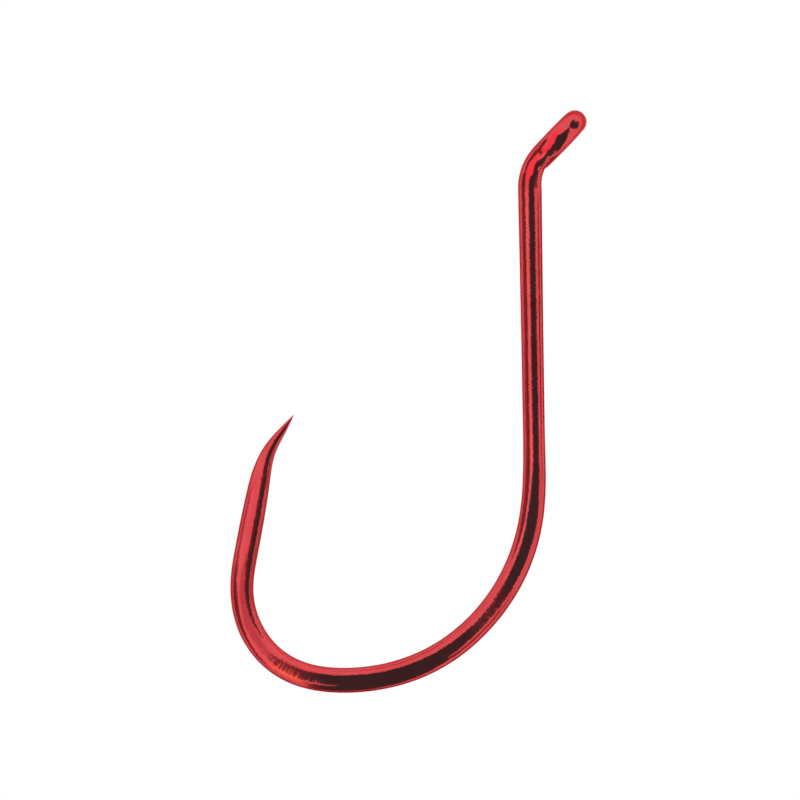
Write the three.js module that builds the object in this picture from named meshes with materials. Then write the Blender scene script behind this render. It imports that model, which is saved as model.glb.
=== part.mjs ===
// A single barbless fishing hook made of one red-lacquered steel wire, in millimetres, +Z up.
// The hook lies in a plane across Y: its shank stands along +Z and its point rises on the -X
// side. The eye's ring leans away from the shank, up and towards +X. The neck runs into its front
// side, towards -Y, and its cut end stops behind the neck. The origin is the middle of the ring's
// hole, where the line holds the hook.
// The wire is one piece in life. Here each of its zones is a closed solid, and two neighbours
// share the very same section where they meet.
import * as THREE from 'three';

// Eye
const EYE_WIRE = 1.39;                                 // diameter of the wire in the ring
const EYE_RADIUS = 1.42;                               // ring's centre to the middle of its wire
const EYE_LEAN = THREE.MathUtils.degToRad(45);         // from the shank's direction to the ring's
const EYE_END_ANGLE = THREE.MathUtils.degToRad(352.5); // where the cut end stops, behind the neck

// Neck
const ELBOW_RADIUS = 2.8;                              // bend between the shank and the ring
const ELBOW_REACH = 1.258;                             // end of the elbow to the ring's centre
const SWING_RADIUS = 2.4;                              // sideways bend that leads into the ring
const SWING_ANGLE = THREE.MathUtils.degToRad(40);      // how far it turns
const CREASE_ANGLE = THREE.MathUtils.degToRad(30);     // turn of the elbow at the crease inside it
const CREASE_DEPTH = 0.15;                             // share of the wire's radius that it takes

// Flats forged on both sides of the bend. Distances along the wire start below the neck. Beyond
// the two ends of the flats the forging dies curve away, and the wire is round again.
const FORGED_THICKNESS = 1.08;
const FLATS_FROM = 19.4;
const FLATS_TO = 41.0;
const DIE_RADIUS = 70;

// The line of the wire below the neck, zone by zone. The curvature changes evenly along each
// stretch, from that at the end of the stretch before it to 1 / radius at its own end.
const STRAIGHT = Infinity;
const ZONES = {
  shank: [
    { length: 14.93, radius: STRAIGHT },
  ],
  heel_bend: [
    { length: 4.73, radius: 11.4 },
    { length: 8.30, radius: 11.4 },
    { length: 0.34, radius: 9.7 },
    { length: 6.51, radius: 12.2 },
  ],
  front_bend: [
    { length: 3.91, radius: 4.7 },
    { length: 5.35, radius: 6.0 },
    { length: 2.22, radius: STRAIGHT },
  ],
  spear: [
    { length: 3.58, radius: STRAIGHT },
  ],
  point: [
    { length: 2.46, radius: 4.1 },
    { length: 1.09, radius: STRAIGHT },
    { length: 1.35, radius: STRAIGHT },
  ],
};

// The wire's width in the hook's own plane, at chosen distances below the neck. It spreads where
// it is forged, and tapers to the tip of the point.
const WIDTHS = [
  { at: 0.0, width: 1.39 },
  { at: 4.5, width: 1.34 },
  { at: 11.5, width: 1.29 },
  { at: 15.4, width: 1.30 },
  { at: 17.4, width: 1.37 },
  { at: 19.4, width: 1.42 },
  { at: 26.0, width: 1.43 },
  { at: 30.0, width: 1.47 },
  { at: 35.0, width: 1.46 },
  { at: 41.0, width: 1.44 },
  { at: 43.8, width: 1.35 },
  { at: 46.0, width: 1.38 },
  { at: 48.6, width: 1.34 },
  { at: 50.5, width: 1.17 },
  { at: 52.4, width: 0.74 },
  { at: 53.4, width: 0.50 },
  { at: 54.2, width: 0.25 },
  { at: 54.73, width: 0.04 },
];

// Fineness of the facets
const FACETS_AROUND = 32;
const LONGEST_STEP = { shank: 2.5, heel_bend: 0.75, front_bend: 0.5, spear: 0.9, point: 0.35 };
const NECK_STEPS = 19;
const RING_STEPS = 32;
const LINE_SAMPLES_PER_MM = 40;

const LACQUER = { color: 0xd8242e, roughness: 0.14, metalness: 1.0 };

const SIDEWAYS = new THREE.Vector3(0, 1, 0);
const RING_DIRECTION = new THREE.Vector3(Math.sin(EYE_LEAN), 0, Math.cos(EYE_LEAN));
const EYE_JOIN_ANGLE = Math.PI / 2 - SWING_ANGLE;      // where the neck runs into the ring's circle

// The hook's plane, in front of the ring's centre.
const HOOK_Y = SWING_RADIUS * (1 - Math.cos(SWING_ANGLE)) - EYE_RADIUS * Math.cos(SWING_ANGLE);

const widthCurve = new THREE.CubicInterpolant(
  WIDTHS.map(({ at }) => at),
  WIDTHS.map(({ width }) => width),
  1,
);

// Width and thickness of the wire at a distance below the neck.
function sectionAt(distance) {
  const width = widthCurve.evaluate(distance)[0];
  const beyondFlats = Math.max(FLATS_FROM - distance, distance - FLATS_TO, 0);
  const betweenDies = FORGED_THICKNESS + beyondFlats ** 2 / DIE_RADIUS;
  return { width, thickness: Math.min(width, betweenDies) };
}

// A station is one cross-section: a centre, the direction across the wire within the hook's
// plane, the direction of its thickness, its two sizes, and how deep a crease cuts in on the
// side that across points to.
function planeStation(x, z, heading, distance) {
  return {
    centre: new THREE.Vector3(x, HOOK_Y, z),
    across: new THREE.Vector3(-Math.sin(heading), 0, Math.cos(heading)),
    side: SIDEWAYS,
    ...sectionAt(distance),
    crease: 0,
  };
}

// The top of the shank, where the elbow begins.
const elbowRun = ELBOW_RADIUS * (1 - Math.cos(EYE_LEAN));
const elbowRise = ELBOW_RADIUS * Math.sin(EYE_LEAN);
const shankX = -ELBOW_REACH * RING_DIRECTION.x - elbowRun;
const shankTopZ = -ELBOW_REACH * RING_DIRECTION.z - elbowRise;

// Follows the wire down the shank, round the bend and up to the tip of the point, and returns
// the stations of each zone. The last station of a zone is the first of the next.
function followWire() {
  const stationsOf = {};
  let x = shankX;
  let z = shankTopZ;
  let heading = -Math.PI / 2;
  let curvature = 0;
  let distance = 0;
  let station = planeStation(x, z, heading, distance);
  for (const [zone, stretches] of Object.entries(ZONES)) {
    const stations = [station];
    for (const { length, radius } of stretches) {
      const steps = Math.ceil(length / LONGEST_STEP[zone]);
      const samples = Math.ceil(length * LINE_SAMPLES_PER_MM / steps);
      const pace = length / (steps * samples);
      const bending = (1 / radius - curvature) / (steps * samples);
      for (let step = 0; step < steps; step += 1) {
        for (let sample = 0; sample < samples; sample += 1) {
          const middle = heading - (curvature + bending / 2) * pace / 2;
          x += Math.cos(middle) * pace;
          z += Math.sin(middle) * pace;
          heading -= (curvature + bending / 2) * pace;
          curvature += bending;
          distance += pace;
        }
        station = planeStation(x, z, heading, distance);
        stations.push(station);
      }
    }
    stationsOf[zone] = stations;
  }
  return stationsOf;
}

// The ring. Its angle counts from the side of the neck, and the wire goes round in front first.
function ringStation(angle) {
  const outward = RING_DIRECTION.clone().multiplyScalar(-Math.cos(angle));
  outward.addScaledVector(SIDEWAYS, -Math.sin(angle));
  return {
    centre: outward.clone().multiplyScalar(EYE_RADIUS),
    across: new THREE.Vector3(RING_DIRECTION.z, 0, -RING_DIRECTION.x),
    side: outward.negate(),
    width: EYE_WIRE,
    thickness: EYE_WIRE,
    crease: 0,
  };
}

function ringStations() {
  const stations = [];
  for (let step = 0; step <= RING_STEPS; step += 1) {
    stations.push(ringStation(THREE.MathUtils.lerp(EYE_JOIN_ANGLE, EYE_END_ANGLE, step / RING_STEPS)));
  }
  return stations;
}

// The neck turns through the elbow, goes straight on, and over the last part of its way swings
// sideways on an arc that meets the ring's circle at a tangent. The bend has creased the inside
// of the elbow.
function neckStations() {
  const elbowLength = ELBOW_RADIUS * EYE_LEAN;
  const length = elbowLength + ELBOW_REACH - EYE_RADIUS * Math.sin(SWING_ANGLE);
  const swingFrom = length - SWING_RADIUS * Math.sin(SWING_ANGLE);
  const stations = [];
  for (let step = 0; step <= NECK_STEPS; step += 1) {
    const along = length * step / NECK_STEPS;
    const turn = Math.min(along, elbowLength) / ELBOW_RADIUS;
    const straight = Math.max(0, along - elbowLength);
    const swingSine = Math.max(0, along - swingFrom) / SWING_RADIUS;
    const swingCosine = Math.sqrt(1 - swingSine * swingSine);
    const forward = new THREE.Vector3(Math.sin(turn), 0, Math.cos(turn));
    const centre = new THREE.Vector3(
      shankX + ELBOW_RADIUS * (1 - Math.cos(turn)),
      HOOK_Y - SWING_RADIUS * (1 - swingCosine),
      shankTopZ + ELBOW_RADIUS * Math.sin(turn),
    );
    centre.addScaledVector(forward, straight);
    const towardsCrease = Math.min(turn / CREASE_ANGLE, (EYE_LEAN - turn) / (EYE_LEAN - CREASE_ANGLE));
    stations.push({
      centre,
      across: new THREE.Vector3(forward.z, 0, -forward.x),
      side: SIDEWAYS.clone().multiplyScalar(swingCosine).addScaledVector(forward, swingSine),
      width: EYE_WIRE,
      thickness: EYE_WIRE,
      crease: CREASE_DEPTH * towardsCrease,
    });
  }
  return stations;
}

// The outline of a section is a circle as wide as the wire is thick, drawn apart to the wire's
// width by the two flats, and drawn in where it is creased. Its corners stand half a step round
// from the middle of the flats, so each flat is one plane.
function outline({ centre, across, side, width, thickness, crease }) {
  const points = [];
  for (let corner = 0; corner < FACETS_AROUND; corner += 1) {
    const angle = 2 * Math.PI * (corner + 0.5) / FACETS_AROUND;
    const cosine = Math.cos(angle);
    const apart = Math.sign(cosine) * (width - thickness) / 2;
    const reach = thickness / 2 * (1 - crease * Math.max(cosine, 0) ** 2);
    const point = centre.clone();
    point.addScaledVector(across, apart + reach * cosine);
    point.addScaledVector(side, reach * Math.sin(angle));
    points.push(point);
  }
  return points;
}

// Joins the outlines of a run of stations into one closed solid with flat ends. Across, side and
// the way to the next station form a right-handed set.
function loft(stations) {
  const positions = stations.flatMap((station) => outline(station).flatMap((p) => p.toArray()));
  const faces = [];
  for (let row = 0; row < stations.length - 1; row += 1) {
    for (let corner = 0; corner < FACETS_AROUND; corner += 1) {
      const next = (corner + 1) % FACETS_AROUND;
      const a = row * FACETS_AROUND + corner;
      const b = row * FACETS_AROUND + next;
      faces.push(a, b, b + FACETS_AROUND);
      faces.push(a, b + FACETS_AROUND, a + FACETS_AROUND);
    }
  }
  const lastRow = (stations.length - 1) * FACETS_AROUND;
  for (let corner = 1; corner < FACETS_AROUND - 1; corner += 1) {
    faces.push(0, corner + 1, corner);
    faces.push(lastRow, lastRow + corner, lastRow + corner + 1);
  }
  const geometry = new THREE.BufferGeometry();
  geometry.setAttribute('position', new THREE.Float32BufferAttribute(positions, 3));
  geometry.setIndex(faces);
  geometry.computeVertexNormals();
  return geometry;
}

function wireZone(name, stations) {
  const mesh = new THREE.Mesh(loft(stations), new THREE.MeshStandardMaterial(LACQUER));
  mesh.name = name;
  return mesh;
}

const hook = new THREE.Group();
hook.add(wireZone('eye_ring', ringStations()));
hook.add(wireZone('neck', neckStations()));
for (const [zone, stations] of Object.entries(followWire())) {
  hook.add(wireZone(zone, stations.reverse()));
}

export default hook;
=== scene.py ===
"""The looks of a red-lacquered fishing hook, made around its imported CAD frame.

Sizes are in millimetres, as in the CAD model, and become metres when a mesh is made. The hook
lies in a plane across Y, with its shank along +Z and its point on the -X side. The wire is
followed from the tip of its point, round the bend, up the shank and round the ring of the eye to
its cut end. Its surface is one fine grid of points, which is divided into the zones that the CAD
nodes hold, so neighbours share their edges and their normals and no seam shows.
"""
import math

import bpy
import numpy as np
from mathutils import Matrix, Vector, noise


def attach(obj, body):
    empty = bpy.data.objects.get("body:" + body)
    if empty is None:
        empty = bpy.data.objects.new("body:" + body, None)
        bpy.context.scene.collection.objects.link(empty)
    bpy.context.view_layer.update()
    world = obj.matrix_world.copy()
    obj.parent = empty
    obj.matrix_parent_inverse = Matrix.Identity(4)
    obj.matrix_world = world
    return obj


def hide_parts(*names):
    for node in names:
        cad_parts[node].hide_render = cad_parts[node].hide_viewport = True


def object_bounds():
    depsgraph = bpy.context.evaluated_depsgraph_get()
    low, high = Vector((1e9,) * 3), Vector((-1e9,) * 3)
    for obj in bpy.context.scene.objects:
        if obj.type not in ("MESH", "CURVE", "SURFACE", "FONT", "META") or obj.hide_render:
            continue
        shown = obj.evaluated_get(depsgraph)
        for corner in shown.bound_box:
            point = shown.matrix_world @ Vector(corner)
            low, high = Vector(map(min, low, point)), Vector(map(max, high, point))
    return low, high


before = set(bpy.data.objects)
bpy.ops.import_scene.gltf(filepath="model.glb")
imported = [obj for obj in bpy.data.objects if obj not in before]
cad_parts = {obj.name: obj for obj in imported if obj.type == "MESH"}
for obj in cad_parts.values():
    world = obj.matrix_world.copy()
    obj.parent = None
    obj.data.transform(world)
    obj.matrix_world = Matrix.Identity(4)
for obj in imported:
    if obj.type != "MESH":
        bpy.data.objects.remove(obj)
cad_low, cad_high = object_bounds()

METRES = 0.001
BODY = "root"

# ---------------------------------------------------------------------------------------------
# The wire, as in the CAD model
# ---------------------------------------------------------------------------------------------

# Eye
EYE_WIRE = 1.39
EYE_RADIUS = 1.42
EYE_LEAN = math.radians(45)
EYE_END_ANGLE = math.radians(352.5)
CUT_RIM = 0.09                       # rounding of the cut end's rim

# Neck
ELBOW_RADIUS = 2.8
ELBOW_REACH = 1.258
SWING_RADIUS = 2.4
SWING_ANGLE = math.radians(40)
CREASE_ANGLE = math.radians(30)
CREASE_DEPTH = 0.15

# Flats forged on both sides of the bend
FORGED_THICKNESS = 1.08
FLATS_FROM = 19.4
FLATS_TO = 41.0
DIE_RADIUS = 70
DIE_MARKS = [(25.0, 2.3), (37.9, 1.9)]  # middle and half length of each mark that the dies left
FLAT_CORNER = 0.12                   # softness of the flats' long edges
FULL_FLAT = 0.17                     # half the width of a fully forged flat

# Length and end radius of each stretch of the wire below the neck
ZONES = {
    "shank": [(14.93, math.inf)],
    "heel_bend": [(4.73, 11.4), (8.30, 11.4), (0.34, 9.7), (6.51, 12.2)],
    "front_bend": [(3.91, 4.7), (5.35, 6.0), (2.22, math.inf)],
    "spear": [(3.58, math.inf)],
    "point": [(2.46, 4.1), (1.09, math.inf), (1.35, math.inf)],
}

# Distance below the neck, and the wire's width there
WIDTHS = [
    (0.0, 1.39), (4.5, 1.34), (11.5, 1.29), (15.4, 1.30), (17.4, 1.37), (19.4, 1.42),
    (26.0, 1.43), (30.0, 1.47), (35.0, 1.46), (41.0, 1.44), (43.8, 1.35), (46.0, 1.38),
    (48.6, 1.34), (50.5, 1.17), (52.4, 0.74), (53.4, 0.50), (54.2, 0.25), (54.73, 0.04),
]

# Fineness of the surface
POINTS_AROUND = 96
ROW_STEP = 0.1
RIM_ROWS = 6
LINE_SAMPLES = 6000

RING_DIRECTION = np.array([math.sin(EYE_LEAN), 0.0, math.cos(EYE_LEAN)])
SIDEWAYS = np.array([0.0, 1.0, 0.0])

EYE_JOIN_ANGLE = math.pi / 2 - SWING_ANGLE
HOOK_Y = SWING_RADIUS * (1 - math.cos(SWING_ANGLE)) - EYE_RADIUS * math.cos(SWING_ANGLE)
SHANK_X = -ELBOW_REACH * RING_DIRECTION[0] - ELBOW_RADIUS * (1 - math.cos(EYE_LEAN))
SHANK_TOP_Z = -ELBOW_REACH * RING_DIRECTION[2] - ELBOW_RADIUS * math.sin(EYE_LEAN)
ELBOW_LENGTH = ELBOW_RADIUS * EYE_LEAN
NECK_LENGTH = ELBOW_LENGTH + ELBOW_REACH - EYE_RADIUS * math.sin(SWING_ANGLE)


class Rows:
    """Cross-sections in a row: how far each is below the neck, its middle, its directions across
    the wire and through its thickness, its width and thickness, the depth of a crease on the
    side that across points to, and how far its outline is drawn in all round."""

    FIELDS = ("along", "centre", "across", "side", "width", "thickness", "crease", "inset")

    def __init__(self, along, centre, across, side, width, thickness, crease=0.0, inset=0.0):
        count = len(along)
        self.along = np.asarray(along, float)
        self.centre = np.asarray(centre, float)
        self.across = np.asarray(across, float)
        self.side = np.asarray(side, float)
        self.width = np.broadcast_to(width, count)
        self.thickness = np.broadcast_to(thickness, count)
        self.crease = np.broadcast_to(crease, count)
        self.inset = np.broadcast_to(inset, count)

    @classmethod
    def joined(cls, runs):
        return cls(*(np.concatenate([getattr(run, name) for run in runs]) for name in cls.FIELDS))

    def without_first(self):
        return Rows(*(getattr(self, name)[1:] for name in self.FIELDS))


def running_sum(rate, pace):
    return np.concatenate(([0.0], np.cumsum((rate[1:] + rate[:-1]) / 2 * pace)))


def traced_line():
    """Distances below the neck, and the wire's x, z and heading at each."""
    ends, bends = [0.0], [0.0]
    for stretches in ZONES.values():
        for length, radius in stretches:
            ends.append(ends[-1] + length)
            bends.append(1 / radius)
    distance, pace = np.linspace(0.0, ends[-1], LINE_SAMPLES, retstep=True)
    heading = -math.pi / 2 - running_sum(np.interp(distance, ends, bends), pace)
    x = SHANK_X + running_sum(np.cos(heading), pace)
    z = SHANK_TOP_Z + running_sum(np.sin(heading), pace)
    return distance, x, z, heading


LINE = traced_line()


def line_at(distances):
    """The middles of the wire at distances below the neck, and its directions across. Above the
    neck the line goes round the elbow and straight on past the eye, and at the other end it goes
    straight on past the tip."""
    distance, x, z, heading = LINE
    turned = np.interp(distances, distance, heading)
    above = np.maximum(-distances, 0.0)
    turn = np.minimum(above, ELBOW_LENGTH) / ELBOW_RADIUS
    past_elbow = np.maximum(above - ELBOW_LENGTH, 0.0)
    past_tip = np.maximum(distances - distance[-1], 0.0)
    flat = np.zeros(len(distances))
    centre = np.stack([
        np.interp(distances, distance, x) + ELBOW_RADIUS * (1 - np.cos(turn)),
        flat + HOOK_Y,
        np.interp(distances, distance, z) + ELBOW_RADIUS * np.sin(turn),
    ], 1)
    towards_tip = np.stack([np.cos(turned), flat, np.sin(turned)], 1)
    centre += RING_DIRECTION * past_elbow[:, None] + towards_tip * past_tip[:, None]
    across = np.stack([-np.sin(turned - turn), flat, np.cos(turned - turn)], 1)
    return centre, across


def widths_at(distances):
    """A smooth curve through WIDTHS."""
    at, width = np.array(WIDTHS).T
    slope = np.gradient(width, at)
    left = np.clip(np.searchsorted(at, distances, side="right") - 1, 0, len(at) - 2)
    gap = at[left + 1] - at[left]
    t = (distances - at[left]) / gap
    rise = 3 * t**2 - 2 * t**3
    return (
        width[left] * (1 - rise)
        + width[left + 1] * rise
        + gap * slope[left] * (t**3 - 2 * t**2 + t)
        + gap * slope[left + 1] * (t**3 - t**2)
    )


def zone_rows(start, end):
    """From the far end of a zone of the wire back up to its near end."""
    count = math.ceil((end - start) / ROW_STEP)
    distances = np.linspace(end, start, count + 1)
    centre, across = line_at(distances)
    width = widths_at(distances)
    beyond = np.maximum(np.maximum(FLATS_FROM - distances, distances - FLATS_TO), 0.0)
    thickness = np.minimum(width, FORGED_THICKNESS + beyond**2 / DIE_RADIUS)
    side = np.tile(SIDEWAYS, (count + 1, 1))
    return Rows(distances, centre, across, side, width, thickness)


def neck_rows():
    """From the top of the shank round the elbow, and sideways into the ring's circle."""
    swing_from = NECK_LENGTH - SWING_RADIUS * math.sin(SWING_ANGLE)
    count = math.ceil(NECK_LENGTH / ROW_STEP)
    travelled = np.linspace(0.0, NECK_LENGTH, count + 1)
    turn = np.minimum(travelled, ELBOW_LENGTH) / ELBOW_RADIUS
    straight = np.maximum(0.0, travelled - ELBOW_LENGTH)
    swing_sine = np.maximum(0.0, travelled - swing_from) / SWING_RADIUS
    swing_cosine = np.sqrt(1 - swing_sine**2)
    flat = np.zeros(count + 1)
    forward = np.stack([np.sin(turn), flat, np.cos(turn)], 1)
    centre = np.stack([
        SHANK_X + ELBOW_RADIUS * (1 - np.cos(turn)),
        HOOK_Y - SWING_RADIUS * (1 - swing_cosine),
        SHANK_TOP_Z + ELBOW_RADIUS * np.sin(turn),
    ], 1) + forward * straight[:, None]
    across = np.stack([np.cos(turn), flat, -np.sin(turn)], 1)
    side = SIDEWAYS * swing_cosine[:, None] + forward * swing_sine[:, None]
    to_crease = np.minimum(turn / CREASE_ANGLE, (EYE_LEAN - turn) / (EYE_LEAN - CREASE_ANGLE))
    return Rows(-travelled, centre, across, side, EYE_WIRE, EYE_WIRE, CREASE_DEPTH * to_crease)


def ring_rows():
    """Round the ring to its cut end, whose rim is rounded."""
    rim_start = EYE_END_ANGLE - CUT_RIM / EYE_RADIUS
    count = math.ceil((rim_start - EYE_JOIN_ANGLE) * EYE_RADIUS / ROW_STEP)
    quarter = np.linspace(0.0, math.pi / 2, RIM_ROWS + 1)[1:]
    rim = EYE_END_ANGLE - CUT_RIM * (1 - np.sin(quarter)) / EYE_RADIUS
    angle = np.concatenate([np.linspace(EYE_JOIN_ANGLE, rim_start, count + 1), rim])
    inset = np.concatenate([np.zeros(count + 1), CUT_RIM * (1 - np.cos(quarter))])
    outward = -SIDEWAYS * np.sin(angle)[:, None] - RING_DIRECTION * np.cos(angle)[:, None]
    across = np.tile([math.cos(EYE_LEAN), 0.0, -math.sin(EYE_LEAN)], (len(angle), 1))
    along = -NECK_LENGTH - EYE_RADIUS * (angle - EYE_JOIN_ANGLE)
    return Rows(along, outward * EYE_RADIUS, across, -outward, EYE_WIRE, EYE_WIRE, 0.0, inset)


# ---------------------------------------------------------------------------------------------
# The surface
# ---------------------------------------------------------------------------------------------

# Height of the unevenness left by drawing and bending the wire, and its waves per millimetre
DRAWN_WAVE = 0.0015
DRAWN_RATE_ACROSS = 0.8
DRAWN_RATE_ALONG = 0.45

# More of it where the dies have pressed, from another place in the noise
PRESSED_WAVE = 0.003
PRESSED_RATE_ACROSS = 2.0
PRESSED_RATE_ALONG = 1.1
PRESSED_NOISE_FROM = 100.0


def unevenness(across, through, along, forged):
    """How far the real surface stands proud of the plain one at points of the wire."""
    waves = np.empty(across.shape)
    for place in np.ndindex(across.shape):
        u, v, s = across[place], through[place], along[place]
        drawn = noise.noise(Vector((
            DRAWN_RATE_ACROSS * u, DRAWN_RATE_ACROSS * v, DRAWN_RATE_ALONG * s,
        )))
        pressed = noise.noise(Vector((
            PRESSED_RATE_ACROSS * u, PRESSED_RATE_ACROSS * v,
            PRESSED_RATE_ALONG * s + PRESSED_NOISE_FROM,
        )))
        waves[place] = DRAWN_WAVE * drawn + PRESSED_WAVE * forged[place] * pressed
    return waves


def surface(rows):
    """The grid of points on the wire, and the same points within the straightened wire."""
    angle = 2 * math.pi * (np.arange(POINTS_AROUND) + 0.5) / POINTS_AROUND
    cosine, sine = np.cos(angle), np.sin(angle)
    flat_half = (rows.width - rows.thickness)[:, None] / 2
    apart = flat_half * cosine / np.hypot(cosine, FLAT_CORNER)
    radius = rows.thickness[:, None] / 2 - rows.inset[:, None]
    creased = 1 - rows.crease[:, None] * np.maximum(cosine, 0.0) ** 2
    along = np.broadcast_to(rows.along[:, None], (len(rows.along), POINTS_AROUND))
    forged = np.broadcast_to(np.clip(flat_half / FULL_FLAT, 0.0, 1.0), along.shape)
    plain_u = apart + radius * cosine
    plain_v = radius * sine
    reach = (radius + unevenness(plain_u, plain_v, along, forged)) * creased
    u = apart + reach * cosine
    v = reach * sine
    points = (
        rows.centre[:, None, :]
        + rows.across[:, None, :] * u[..., None]
        + rows.side[:, None, :] * v[..., None]
    )
    return points, np.stack([u, v, along], -1)


def unit(vectors):
    return vectors / np.linalg.norm(vectors, axis=-1, keepdims=True)


def surface_directions(points):
    """The directions round the wire and straight out of its surface at every point."""
    around = np.roll(points, -1, axis=1) - np.roll(points, 1, axis=1)
    normals = np.cross(around, np.gradient(points, axis=0))
    return unit(around), unit(normals)


def marked_share(along):
    """How much of the wire's surface the ends of the dies have marked."""
    share = np.zeros(along.shape)
    for middle, half_length in DIE_MARKS:
        share = np.maximum(share, 1 - ((along - middle) / half_length) ** 2)
    return share


def wire_piece(name, points, places, around, normals):
    """One closed length of the wire, with a flat face at each end."""
    row_count = len(points)
    corner = np.arange(POINTS_AROUND)
    beside = (corner + 1) % POINTS_AROUND
    starts = np.arange(row_count - 1)[:, None] * POINTS_AROUND
    quads = np.stack([
        starts + corner, starts + beside,
        starts + POINTS_AROUND + beside, starts + POINTS_AROUND + corner,
    ], -1).reshape(-1, 4)
    first_face = corner[::-1]
    last_face = (row_count - 1) * POINTS_AROUND + corner
    mesh = bpy.data.meshes.new(name)
    mesh.from_pydata(
        (points.reshape(-1, 3) * METRES).tolist(), [],
        quads.tolist() + [first_face.tolist(), last_face.tolist()],
    )
    mesh.polygons.foreach_set("use_smooth", [True] * len(quads) + [False, False])
    flat_normals = [mesh.polygons[-2].normal, mesh.polygons[-1].normal]
    loop_normals = np.concatenate([
        normals.reshape(-1, 3)[quads.ravel()],
        np.tile(flat_normals[0], (POINTS_AROUND, 1)),
        np.tile(flat_normals[1], (POINTS_AROUND, 1)),
    ])
    mesh.normals_split_custom_set(loop_normals.tolist())
    place = mesh.attributes.new("wire_place", "FLOAT_VECTOR", "POINT")
    place.data.foreach_set("vector", places.astype(np.float32).ravel())
    way = mesh.attributes.new("wire_around", "FLOAT_VECTOR", "POINT")
    way.data.foreach_set("vector", around.astype(np.float32).ravel())
    marked = mesh.attributes.new("die_marked", "FLOAT", "POINT")
    marked.data.foreach_set("value", marked_share(places[..., 2]).astype(np.float32).ravel())
    piece = bpy.data.objects.new(name, mesh)
    bpy.context.scene.collection.objects.link(piece)
    return piece


def wire_zones():
    """The rows of each zone in order, from the tip of the point to the cut end of the eye. The
    first row of each zone is the last of the zone before it."""
    zones, start = {}, 0.0
    for zone, stretches in ZONES.items():
        end = start + sum(length for length, _ in stretches)
        zones[zone] = zone_rows(start, end)
        start = end
    ordered = dict(reversed(zones.items()))
    ordered["neck"] = neck_rows()
    ordered["eye_ring"] = ring_rows()
    return ordered


def build_wire(material):
    zones = wire_zones()
    runs = list(zones.values())
    rows = Rows.joined([runs[0]] + [run.without_first() for run in runs[1:]])
    points, places = surface(rows)
    around, normals = surface_directions(points)
    first = 0
    for zone, run in zones.items():
        last = first + len(run.along) - 1
        part = slice(first, last + 1)
        piece = wire_piece(
            f"{zone}_wire", points[part], places[part], around[part], normals[part]
        )
        piece.data.materials.append(material)
        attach(piece, BODY)
        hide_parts(zone)
        first = last


# ---------------------------------------------------------------------------------------------
# Materials
# ---------------------------------------------------------------------------------------------

def add_node(tree, kind, inputs, **settings):
    """A node with its settings, its inputs' values and the links into it."""
    made = tree.nodes.new(kind)
    for name, value in settings.items():
        setattr(made, name, value)
    for name, value in inputs.items():
        if isinstance(value, bpy.types.NodeSocket):
            tree.links.new(value, made.inputs[name])
        else:
            made.inputs[name].default_value = value
    return made


def new_material(name):
    material = bpy.data.materials.new(name)
    material.use_nodes = True
    material.node_tree.nodes.clear()
    return material


def wire_noise(tree, place, rate, detail, roughness):
    """Noise with its own rate along each axis of the straightened wire."""
    stretched = add_node(tree, "ShaderNodeVectorMath", {0: place, 1: rate}, operation="MULTIPLY")
    made = add_node(tree, "ShaderNodeTexNoise", {
        "Vector": stretched.outputs[0], "Scale": 1.0, "Detail": detail, "Roughness": roughness,
    })
    return made.outputs["Fac"]


def remap(tree, value, low, high, to_low, to_high):
    """A smooth step from one value to another."""
    made = add_node(tree, "ShaderNodeMapRange", {
        "Value": value, "From Min": low, "From Max": high, "To Min": to_low, "To Max": to_high,
    }, interpolation_type="SMOOTHSTEP")
    return made.outputs["Result"]


# Noise in the wire and its lacquer: its rate per millimetre across, through and along the wire,
# its detail and its roughness
MARKS = ((1.0, 1.0, 13.0), 3.0, 0.6)
GRAIN = ((5.0, 5.0, 3.0), 2.0, 0.5)
PEEL = ((2.2, 2.2, 1.6), 2.0, 0.5)
CLOUDS = ((0.7, 0.7, 0.5), 3.0, 0.5)

# Values of the noise between which the colour, the roughness and the lean change
CLOUD_RANGE = (0.35, 0.65)
ROUGHNESS_RANGE = (0.3, 0.7)
LEAN_RANGE = (0.2, 0.8)

MARK_LEAN = 0.055                    # how far fine marks across the wire lean to either side
DIE_MARK_LEAN = 0.13                 # the same where the dies have marked the wire
SMOOTHEST = 0.11                     # the lacquer's roughness between the fine marks
ROUGHEST = 0.17                      # and in them
DIE_MARK_ROUGHNESS = 0.1             # more of it where the dies have marked the wire
GRAIN_HEIGHT = 0.01
PEEL_HEIGHT = 0.004                  # of the lacquer's orange peel

RED = (0.74, 0.066, 0.076, 1.0)
DEEPER_RED = (0.67, 0.054, 0.064, 1.0)
RIM_RED = (0.8, 0.2, 0.21, 1.0)
COAT = 0.25
COAT_ROUGHNESS = 0.3


def wire_attribute(tree, name, output):
    return add_node(tree, "ShaderNodeAttribute", {}, attribute_name=name).outputs[output]


def bumped(tree, height, height_mm, normal):
    made = add_node(tree, "ShaderNodeBump", {
        "Height": height, "Strength": 1.0, "Distance": height_mm * METRES, "Normal": normal,
    })
    return made.outputs["Normal"]


def marked_normal(tree, marks, die_marked):
    """The surface's normal, leaning round the wire to and fro from one fine mark to the next."""
    steepest = remap(tree, die_marked, 0.0, 1.0, MARK_LEAN, DIE_MARK_LEAN)
    to_and_fro = remap(tree, marks, *LEAN_RANGE, -1.0, 1.0)
    lean = add_node(tree, "ShaderNodeMath", {0: to_and_fro, 1: steepest}, operation="MULTIPLY")
    leaning = add_node(tree, "ShaderNodeVectorMath", {
        0: wire_attribute(tree, "wire_around", "Vector"), "Scale": lean.outputs[0],
    }, operation="SCALE")
    upright = add_node(tree, "ShaderNodeNewGeometry", {}).outputs["Normal"]
    normal = add_node(tree, "ShaderNodeVectorMath", {
        0: upright, 1: leaning.outputs["Vector"],
    }, operation="ADD")
    return normal.outputs["Vector"]


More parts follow.
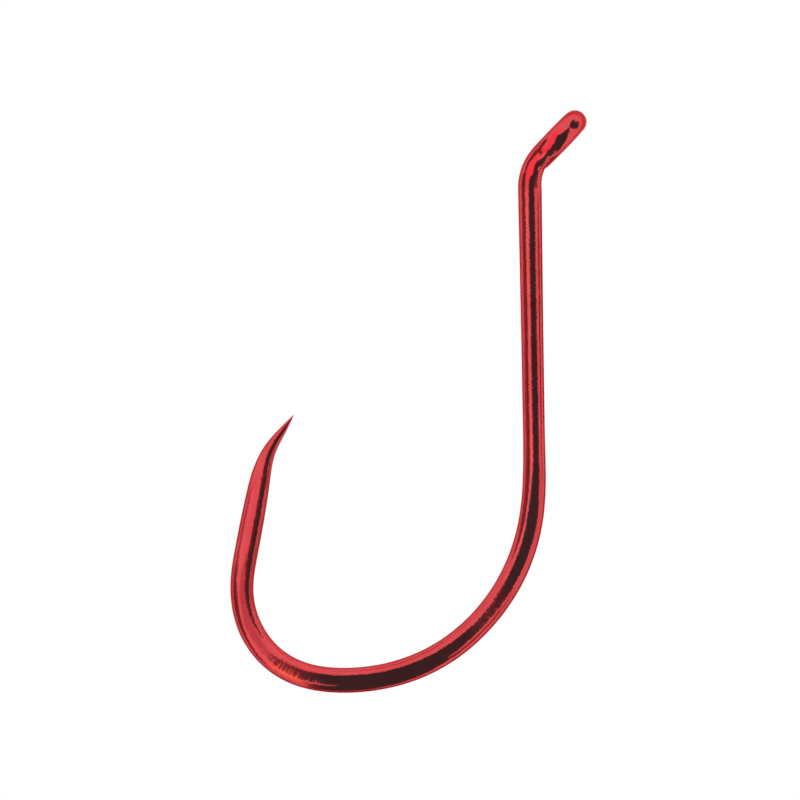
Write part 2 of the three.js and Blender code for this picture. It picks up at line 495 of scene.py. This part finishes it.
def lacquer_material():
    """Transparent red lacquer on bright steel wire."""
    material = new_material("red_lacquer_on_steel")
    tree = material.node_tree
    place = wire_attribute(tree, "wire_place", "Vector")
    die_marked = wire_attribute(tree, "die_marked", "Fac")
    marks = wire_noise(tree, place, *MARKS)
    grain = wire_noise(tree, place, *GRAIN)
    peel = wire_noise(tree, place, *PEEL)
    clouds = wire_noise(tree, place, *CLOUDS)
    colour = add_node(tree, "ShaderNodeMix", {
        "Factor": remap(tree, clouds, *CLOUD_RANGE, 0.0, 1.0), "A": RED, "B": DEEPER_RED,
    }, data_type="RGBA")
    roughness = add_node(tree, "ShaderNodeMath", {
        0: remap(tree, marks, *ROUGHNESS_RANGE, SMOOTHEST, ROUGHEST),
        1: remap(tree, die_marked, 0.0, 1.0, 0.0, DIE_MARK_ROUGHNESS),
    }, operation="ADD")
    normal = marked_normal(tree, marks, die_marked)
    normal = bumped(tree, grain, GRAIN_HEIGHT, normal)
    normal = bumped(tree, peel, PEEL_HEIGHT, normal)
    shader = add_node(tree, "ShaderNodeBsdfPrincipled", {
        "Base Color": colour.outputs["Result"],
        "Metallic": 1.0,
        "Roughness": roughness.outputs[0],
        "Specular Tint": RIM_RED,
        "Coat Weight": COAT,
        "Coat Roughness": COAT_ROUGHNESS,
        "Normal": normal,
    })
    add_node(tree, "ShaderNodeOutputMaterial", {"Surface": shader.outputs["BSDF"]})
    return material


def glowing_material(name, colour, strength):
    material = new_material(name)
    tree = material.node_tree
    glow = add_node(tree, "ShaderNodeEmission", {"Color": (*colour, 1.0), "Strength": strength})
    add_node(tree, "ShaderNodeOutputMaterial", {"Surface": glow.outputs["Emission"]})
    return material


# ---------------------------------------------------------------------------------------------
# The studio
# ---------------------------------------------------------------------------------------------

CLOTH_DISTANCE = 4.0                 # from the middle of the wire to the cloths and lamps beside it
EYE_CLOTH_DISTANCE = 2.6             # nearer, for those beside the neck and the eye
CLOTH_STEP = 0.1
CLOTH_COLUMNS = 12
BEHIND = 0.3                         # from one layer of cloths to the next
FLOOR_DROP = 60.0                    # floor below the lowest place of the hook
FLOOR_HALF = 4000.0

# The colour and strength of what each cloth and lamp sends to the hook
CLOTHS = {
    "black": ((0.28, 1.0, 0.92), 0.165),
    "dark": ((1.0, 0.65, 0.65), 0.17),
    "brown": ((1.0, 0.5, 0.5), 0.23),
    "grey": ((1.0, 0.85, 0.8), 0.3),
    "light_grey": ((1.0, 0.9, 0.9), 0.42),
    "mist": ((1.0, 0.86, 0.86), 0.68),
    "pale": ((1.0, 1.0, 1.0), 0.86),
    "cool": ((0.78, 1.0, 0.88), 1.42),
    "blue": ((0.2, 0.5, 1.0), 1.6),
    "white": ((1.0, 1.0, 1.0), 1.1),
    "warm": ((1.0, 0.94, 0.62), 1.13),
    "orange": ((0.79, 1.0, 0.45), 3.4),
    "red": ((1.0, 0.36, 0.48), 1.3),
}

# Strips of cloth and strip lamps beside the wire. Each has a name, its colour, its layer, counted
# outwards, and its edges. An edge is a distance below the neck and the angles round the wire, in
# degrees from the front, between which the strip hangs there: below zero is the inside of the
# bend.

# What the front of the shank and the heel mirrors: one long dark band with a softer fringe
FRONT_STRIPS = [
    ("front_cloth", "black", 0, [
        (-0.9, -6, 31), (8.5, -7, 32), (11.0, -7, 36), (15.0, -7, 38), (16.9, -8, 30),
        (17.8, -11, 25), (18.8, -15, 33), (19.7, -16, 36), (20.6, -16, 32), (22.5, -17, 27),
        (24.4, -17, 18), (25.3, -7, 16), (26.2, -8, 16), (28.0, -16, 21), (28.7, -18, 22),
        (28.8, -18, 51), (30.0, -22, 60), (31.8, -23, 71), (34.6, -28, 79), (35.4, -26, 79),
    ]),
    ("front_cloth_inner_end", "black", 0, [
        (35.4, -26, 21), (36.3, -26, 18), (37.0, -19, 13), (37.6, -10, 8), (38.0, -2, 5),
    ]),
    ("front_cloth_outer_end", "black", 0, [
        (35.4, 22, 79), (35.9, 28, 78), (36.4, 40, 70),
    ]),
    ("front_fringe", "dark", 1, [
        (-0.9, -16, 41), (8.5, -16, 42), (11.0, -16, 45), (15.0, -15, 46), (16.9, -10, 38),
        (17.8, -11, 31), (18.8, -15, 38), (19.7, -16, 41), (20.6, -16, 36), (22.5, -17, 32),
        (24.4, -17, 24), (25.3, -10, 22), (26.2, -11, 22), (28.0, -16, 27), (28.7, -18, 28),
        (28.8, -18, 66), (30.0, -22, 76), (31.8, -23, 89), (34.6, -28, 97), (35.4, -26, 97),
    ]),
    ("front_fringe_end", "dark", 1, [
        (35.4, 30, 97), (37.0, 30, 95),
    ]),
]

# What both sides of the shank and the heel mirror
SIDE_STRIPS = [
    ("shank_inner_cloth", "brown", 0, [
        (-0.9, -68, -47), (15.0, -68, -46), (17.0, -64, -37), (19.7, -64, -38), (20.6, -62, -43),
        (22.0, -60, -55),
    ]),
    ("shank_far_cloth", "grey", 0, [
        (-0.9, -86, -68), (13.0, -90, -68), (15.0, -88, -68), (17.0, -84, -64), (18.8, -86, -64),
        (19.7, -82, -64), (20.6, -78, -62), (22.0, -66, -60),
    ]),
    ("shank_outer_cloth", "brown", 0, [
        (0.2, 72, 80), (1.4, 67, 84), (12.0, 67, 84), (17.0, 72, 79),
    ]),
    ("shank_lamp", "cool", 0, [
        (0.0, -40, -24), (15.0, -40, -24), (18.0, -33, -18), (22.0, -38, -24),
    ]),
    ("heel_inner_cloth", "pale", 2, [
        (20.0, -96, -60), (22.0, -96, -50), (27.0, -92, -50), (29.0, -84, -80),
    ]),
    ("heel_side_cloth", "pale", 2, [
        (14.0, 60, 64), (17.0, 40, 84), (28.8, 40, 84),
    ]),
    ("heel_outer_cloth", "brown", 0, [
        (24.0, 52, 57), (25.5, 46, 65), (28.8, 44, 67),
    ]),
    ("heel_lamp", "blue", 2, [
        (17.2, -20, -11), (18.4, -20, -14), (20.0, -20, -18),
    ]),
]

# What the lower front bend mirrors: a bright patch between the ends of the two dark bands
FRONT_BEND_STRIPS = [
    ("bulb_inner_fringe", "dark", 1, [
        (36.3, -32, 17), (37.2, -27, 13), (38.2, -17, 11), (39.2, -9, 9), (39.6, -3, 6),
    ]),
    ("bulb_inner_glow", "white", 2, [
        (35.6, -84, -38), (40.0, -84, -38),
    ]),
    ("bulb_outer_cloth", "light_grey", 1, [
        (37.8, 74, 84), (40.2, 72, 84),
    ]),
    ("bulb_glow", "warm", 2, [
        (37.1, 16, 60), (39.4, 12, 60),
    ]),
    ("upper_glint", "orange", 0, [
        (38.15, 27, 34), (39.1, 28, 33),
    ]),
    ("lower_glint", "orange", 0, [
        (37.4, 26, 31), (37.95, 27, 33),
    ]),
]

# What the spear and the point mirror: a dark band up to the tip, and softer bands beside it
SPEAR_STRIPS = [
    ("point_cloth", "black", 0, [
        (41.3, -52, -44), (42.6, -64, -41), (44.0, -70, -41), (45.0, -72, -41), (50.5, -72, -41),
        (51.4, -70, -45), (52.4, -68, -32), (53.3, -60, -6), (54.2, -54, 8), (55.5, -44, 14),
    ]),
    ("point_fringe", "dark", 1, [
        (40.8, -50, -40), (42.0, -52, -24), (43.0, -52, -22), (45.0, -52, -25), (50.5, -52, -25),
        (51.5, -56, -32), (52.4, -56, -18), (53.3, -50, 4), (54.2, -56, 16), (60.0, -46, 22),
    ]),
    ("point_outer_fringe", "brown", 2, [
        (40.6, -46, -34), (42.0, -46, -12), (45.0, -46, -18), (50.5, -46, -18), (52.4, -46, -8),
        (53.3, -40, 12), (54.2, -40, 24), (60.0, -40, 34),
    ]),
    ("spear_inner_cloth", "light_grey", 0, [
        (40.5, -112, -107), (44.0, -117, -104), (52.0, -118, -103),
    ]),
    ("spear_rim_cloth", "mist", 0, [
        (40.8, 98, 124), (41.8, 86, 130), (44.2, 88, 134), (46.0, 102, 140), (54.0, 102, 140),
    ]),
    ("front_middle_cloth", "mist", 1, [
        (39.7, -5, 6), (41.5, -16, 12), (44.0, -22, 10), (46.0, -12, -4),
    ]),
    ("front_outer_cloth", "light_grey", 1, [
        (39.4, 58, 72), (41.0, 44, 76), (42.3, 30, 80), (43.2, 28, 82), (44.5, 48, 84),
        (46.0, 62, 84), (50.0, 68, 84),
    ]),
    ("front_outer_core", "brown", 0, [
        (39.8, 60, 70), (41.0, 48, 70), (42.3, 33, 73), (43.2, 36, 76), (44.3, 52, 77),
        (45.0, 64, 74),
    ]),
    ("front_lamp", "white", 2, [
        (39.4, 14, 60), (41.0, 24, 46), (50.0, 24, 56),
    ]),
]

# What both rims of the wire and its back mirror
RIM_STRIPS = [
    ("outer_rim_cloth", "brown", 0, [
        (-0.3, 112, 132), (16.0, 112, 132), (20.0, 102, 124), (38.0, 102, 124),
        (40.5, 106, 120),
    ]),
    ("inner_rim_cloth", "grey", 0, [
        (-0.3, -139, -131), (50.0, -139, -131),
    ]),
    ("back_cloth", "black", 0, [
        (-0.3, 174, 190), (20.0, 172, 190), (30.0, 170, 190), (37.0, 172, 190), (52.0, 176, 186),
    ]),
]

# What the neck and the eye mirror
EYE_STRIPS = [
    ("neck_cloth", "black", 0, [
        (-1.3, 14, 50), (-0.7, -4, 34), (-0.3, -6, 31),
    ]),
    ("eye_cloth", "black", 0, [
        (-5.9, 0, 5), (-5.2, 4, 14), (-4.6, 6, 27), (-4.2, -2, 32), (-3.6, -12, 38),
        (-3.2, -10, 50), (-2.7, 0, 60), (-2.0, 8, 56), (-1.3, 14, 50),
    ]),
    ("eye_fringe", "dark", 1, [
        (-6.2, 0, 4), (-5.2, 0, 18), (-4.2, -6, 40), (-3.2, -14, 56), (-2.7, 0, 66), (-2.0, 4, 62),
        (-1.3, 10, 56), (-0.7, -8, 42), (-0.3, -16, 41),
    ]),
    ("far_eye_cloth", "black", 0, [
        (-16.0, -50, 95), (-11.0, -42, 85), (-8.7, -38, 76), (-7.2, -28, 78), (-6.4, -14, 64),
        (-5.8, -4, 24),
    ]),
    ("eye_inner_cloth", "brown", 0, [
        (-2.4, -58, -44), (-2.1, -72, -42), (-1.7, -80, -48), (-1.4, -82, -53), (-1.1, -77, -53),
        (-0.9, -70, -55), (-0.3, -70, -46),
    ]),
    ("eye_lamp", "red", 0, [
        (-4.3, -34, -24), (-3.6, -40, -16), (-2.7, -32, -3), (-2.1, -28, 2), (-1.5, -27, 9),
        (-1.1, -51, 3), (-0.8, -50, -8), (-0.5, -26, -14),
    ]),
]

# Flat cloths square to the wire, which only the neck's slanting side can mirror. Each has a name,
# its colour, its distance below the neck, the angles between which it hangs, and how far from the
# middle of the wire it starts and ends.
NECK_FLAGS = [
    ("neck_flag", "black", 1.1, (-16, 31), (1.3, 4.5)),
    ("neck_side_flag", "black", 1.1, (31, 54), (1.8, 3.0)),
    ("red_flag", "red", 0.4, (-50, -18), (2.7, 4.5)),
]


def stage_mesh(name, points, faces, material, seen_by_camera=False):
    mesh = bpy.data.meshes.new(name)
    mesh.from_pydata((np.asarray(points) * METRES).tolist(), [], faces)
    mesh.materials.append(material)
    piece = bpy.data.objects.new(name, mesh)
    bpy.context.scene.collection.objects.link(piece)
    piece.visible_camera = seen_by_camera
    piece.visible_diffuse = False
    piece.visible_shadow = False
    return piece


def cloth_mesh(name, material, grid):
    """A cloth through a grid of points, row by row."""
    rows, columns = grid.shape[:2]
    faces = [
        (row * columns + column, row * columns + column + 1,
         (row + 1) * columns + column + 1, (row + 1) * columns + column)
        for row in range(rows - 1) for column in range(columns - 1)
    ]
    stage_mesh(name, grid.reshape(-1, 3), faces, material)


def directions_round(across, degrees):
    """Directions from the middle of the wire at angles from its front."""
    angle = np.radians(degrees)[..., None]
    return across * np.sin(angle) - SIDEWAYS * np.cos(angle)


def strip_along_wire(name, material, layer, edges, nearest):
    at, inner, outer = np.array(edges, float).T
    distances = np.linspace(at[0], at[-1], math.ceil((at[-1] - at[0]) / CLOTH_STEP) + 1)
    centre, across = line_at(distances)
    low = np.interp(distances, at, inner)[:, None]
    high = np.interp(distances, at, outer)[:, None]
    angles = low + (high - low) * np.linspace(0.0, 1.0, CLOTH_COLUMNS + 1)
    towards = directions_round(across[:, None, :], angles)
    cloth_mesh(name, material, centre[:, None, :] + (nearest + BEHIND * layer) * towards)


def flag_across_wire(name, material, distance, angles, reaches):
    centre, across = line_at(np.array([distance]))
    towards = directions_round(across, np.linspace(*angles, CLOTH_COLUMNS + 1))
    cloth_mesh(name, material, centre + np.stack([towards * reach for reach in reaches]))


def build_cloths():
    materials = {
        colour: glowing_material(f"{colour}_cloth", *look) for colour, look in CLOTHS.items()
    }
    for strips in (FRONT_STRIPS, SIDE_STRIPS, FRONT_BEND_STRIPS, SPEAR_STRIPS, RIM_STRIPS):
        for name, colour, layer, edges in strips:
            strip_along_wire(name, materials[colour], layer, edges, CLOTH_DISTANCE)
    for name, colour, layer, edges in EYE_STRIPS:
        strip_along_wire(name, materials[colour], layer, edges, EYE_CLOTH_DISTANCE)
    for name, colour, distance, angles, reaches in NECK_FLAGS:
        flag_across_wire(name, materials[colour], distance, angles, reaches)


def build_floor():
    white = glowing_material("white_floor", (1.0, 1.0, 1.0), 1.0)
    level = cad_low.z / METRES - FLOOR_DROP
    corners = [(-1, -1), (1, -1), (1, 1), (-1, 1)]
    points = [(x * FLOOR_HALF, y * FLOOR_HALF, level) for x, y in corners]
    floor = stage_mesh("floor", points, [(0, 1, 2, 3)], white, seen_by_camera=True)
    floor.visible_glossy = False


# The light that reaches the hook, by how far backwards its direction points: a soft box in front
# fades to a dimmer room, and a wall straight behind the hook adds to the room's light.
BOX_FADES = (0.3, 0.65)
BOX_LIGHT = 1.0
ROOM_LIGHT = 0.74
WALL_RISES = (0.75, 0.95)
WALL_LIGHT = 0.16


def build_world():
    """White to the camera, and to the hook a soft box, a dimmer room and a wall behind."""
    world = bpy.data.worlds.new("studio")
    bpy.context.scene.world = world
    world.use_nodes = True
    tree = world.node_tree
    tree.nodes.clear()
    direction = add_node(tree, "ShaderNodeTexCoord", {}).outputs["Generated"]
    backward = add_node(tree, "ShaderNodeSeparateXYZ", {"Vector": direction}).outputs["Y"]
    box = remap(tree, backward, *BOX_FADES, BOX_LIGHT, ROOM_LIGHT)
    wall = remap(tree, backward, *WALL_RISES, 0.0, WALL_LIGHT)
    lit = add_node(tree, "ShaderNodeMath", {0: box, 1: wall}, operation="ADD")
    seen = add_node(tree, "ShaderNodeLightPath", {}).outputs["Is Camera Ray"]
    strength = add_node(tree, "ShaderNodeMix", {"Factor": seen, "A": lit.outputs[0], "B": 1.0})
    light = add_node(tree, "ShaderNodeBackground", {
        "Color": (1.0, 1.0, 1.0, 1.0), "Strength": strength.outputs["Result"],
    })
    add_node(tree, "ShaderNodeOutputWorld", {"Surface": light.outputs["Background"]})


# ---------------------------------------------------------------------------------------------
# The camera
# ---------------------------------------------------------------------------------------------

SENSOR = 36.0
LENS = 135.0
FRAME_WIDTH = 46.66                  # across the picture, at the hook
AIM_LEFT = 0.554                     # the camera aims this far left of the middle of the CAD box
AIM_UP = 0.128                       # and this far above it
ROLL = math.radians(-0.96)
CLIP_RATIO = 100                     # sees from its distance / this to its distance * this


def build_camera():
    data = bpy.data.cameras.new("camera")
    data.sensor_width = SENSOR
    data.lens = LENS
    camera = bpy.data.objects.new("camera", data)
    bpy.context.scene.collection.objects.link(camera)
    middle = (cad_low + cad_high) / 2
    middle.y = HOOK_Y * METRES
    away = FRAME_WIDTH * LENS / SENSOR
    offset = Vector((-AIM_LEFT, -away, AIM_UP)) * METRES
    turn = Matrix.Rotation(math.pi / 2, 4, "X") @ Matrix.Rotation(ROLL, 4, "Z")
    camera.matrix_world = Matrix.Translation(middle + offset) @ turn
    data.clip_start = away * METRES / CLIP_RATIO
    data.clip_end = away * METRES * CLIP_RATIO
    bpy.context.scene.camera = camera


bpy.context.scene.view_settings.view_transform = "Standard"
build_camera()
build_world()
build_floor()
build_cloths()
build_wire(lacquer_material())
